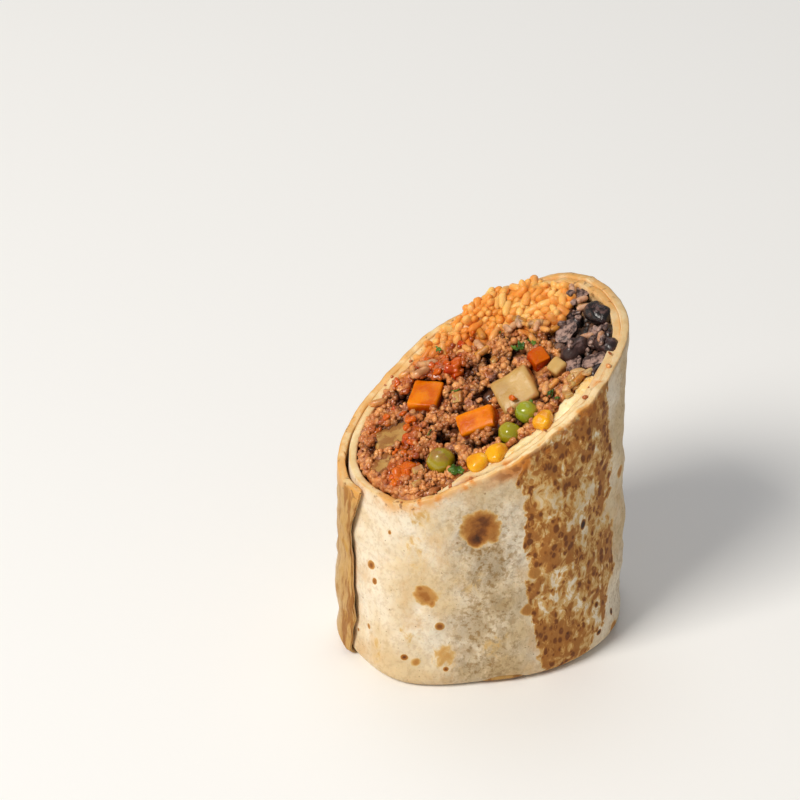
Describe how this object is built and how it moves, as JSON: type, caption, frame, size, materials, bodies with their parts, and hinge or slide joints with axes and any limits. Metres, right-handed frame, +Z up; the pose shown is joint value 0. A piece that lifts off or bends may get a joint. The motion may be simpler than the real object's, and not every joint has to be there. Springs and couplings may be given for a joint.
{
  "type": "cut burrito half",
  "caption": "Half of a rolled flour tortilla with rice, black beans, mince and diced vegetables, cut on the slant and standing on its folded end.",
  "frame": {"origin": "on the resting surface, under the middle of the roll", "axes": "+Z up along the roll, from the folded end it stands on to the cut; +X along the wide side of the flattened roll, towards the tall side of the slanted cut; +Y through the roll's thickness"},
  "size_m": [0.086, 0.0694, 0.0998],
  "materials": {
    "tortilla": "soft baked flour tortilla, cream with griddled brown spots",
    "rice": "cooked long rice, stained orange, slightly moist",
    "beans": "cooked black beans, near black skins over grey flesh, moist",
    "mince": "browned minced meat in a thin sauce, moist",
    "cheese": "melted pale cheese, satin",
    "carrot": "diced carrot, orange, wet",
    "potato": "diced potato, pale yellow with browned edges, moist",
    "pea": "cooked green peas, olive green, glossy",
    "corn": "cooked corn kernels, yellow, glossy",
    "tomato": "cooked tomato pieces, red, wet",
    "herb": "chopped fresh herb leaf, dark green"
  },
  "bodies": {
    "root": {"tortilla": "tortilla", "rice": "rice", "beans": "beans", "mince": "mince", "cheese": "cheese", "carrot_1": "carrot", "carrot_2": "carrot", "carrot_3": "carrot", "potato_1": "potato", "potato_2": "potato", "potato_3": "potato", "potato_4": "potato", "pea_1": "pea", "pea_2": "pea", "pea_3": "pea", "corn_1": "corn", "corn_2": "corn", "corn_3": "corn", "tomato_1": "tomato", "tomato_2": "tomato", "tomato_3": "tomato", "cilantro_1": "herb", "cilantro_2": "herb"}
  },
  "joints": []
}
